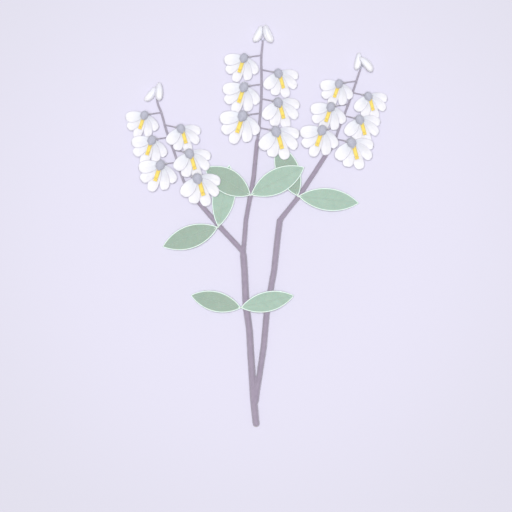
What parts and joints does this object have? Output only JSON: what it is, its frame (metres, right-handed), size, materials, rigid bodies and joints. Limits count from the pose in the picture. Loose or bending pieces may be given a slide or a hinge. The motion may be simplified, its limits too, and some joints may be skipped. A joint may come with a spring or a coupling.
{
  "type": "flowering deutzia branch",
  "caption": "Cut deutzia branch lying flat, with a forked stem, paired pointed leaves and racemes of nodding white flowers with yellow stamens.",
  "frame": {"origin": "middle of the branch's bounding box, on the table it lies on", "axes": "+Y up the branch from its cut end to its tips, +Z away from the table, +X to the right as the flowers are seen from above"},
  "size_m": [0.1574, 0.2416, 0.0134],
  "materials": {
    "bark": "matt young bark with fine down",
    "flower_stalk": "matt felted stalk and cups",
    "petal": "soft satin petal",
    "stamen": "matt pollen-dusted",
    "leaf": "matt leaf rough with fine hairs"
  },
  "bodies": {
    "root": {"woody_stem": "bark", "raceme_stalk_left": "flower_stalk", "corolla_left_1": "petal", "stamens_left_1": "stamen", "corolla_left_2": "petal", "stamens_left_2": "stamen", "corolla_left_3": "petal", "stamens_left_3": "stamen", "corolla_left_4": "petal", "stamens_left_4": "stamen", "corolla_left_5": "petal", "stamens_left_5": "stamen", "corolla_left_6": "petal", "stamens_left_6": "stamen", "bud_left_1": "petal", "bud_left_2": "petal", "raceme_stalk_centre": "flower_stalk", "corolla_centre_1": "petal", "stamens_centre_1": "stamen", "corolla_centre_2": "petal", "stamens_centre_2": "stamen", "corolla_centre_3": "petal", "stamens_centre_3": "stamen", "corolla_centre_4": "petal", "stamens_centre_4": "stamen", "corolla_centre_5": "petal", "stamens_centre_5": "stamen", "corolla_centre_6": "petal", "stamens_centre_6": "stamen", "bud_centre_1": "petal", "bud_centre_2": "petal", "raceme_stalk_right": "flower_stalk", "corolla_right_1": "petal", "stamens_right_1": "stamen", "corolla_right_2": "petal", "stamens_right_2": "stamen", "corolla_right_3": "petal", "stamens_right_3": "stamen", "corolla_right_4": "petal", "stamens_right_4": "stamen", "corolla_right_5": "petal", "stamens_right_5": "stamen", "corolla_right_6": "petal", "stamens_right_6": "stamen", "bud_right_1": "petal", "bud_right_2": "petal", "leaf_low_left": "leaf", "leaf_low_right": "leaf", "leaf_centre_left": "leaf", "leaf_centre_right": "leaf", "leaf_left_out": "leaf", "leaf_left_up": "leaf", "leaf_right_out": "leaf", "leaf_right_up": "leaf"}
  },
  "joints": []
}
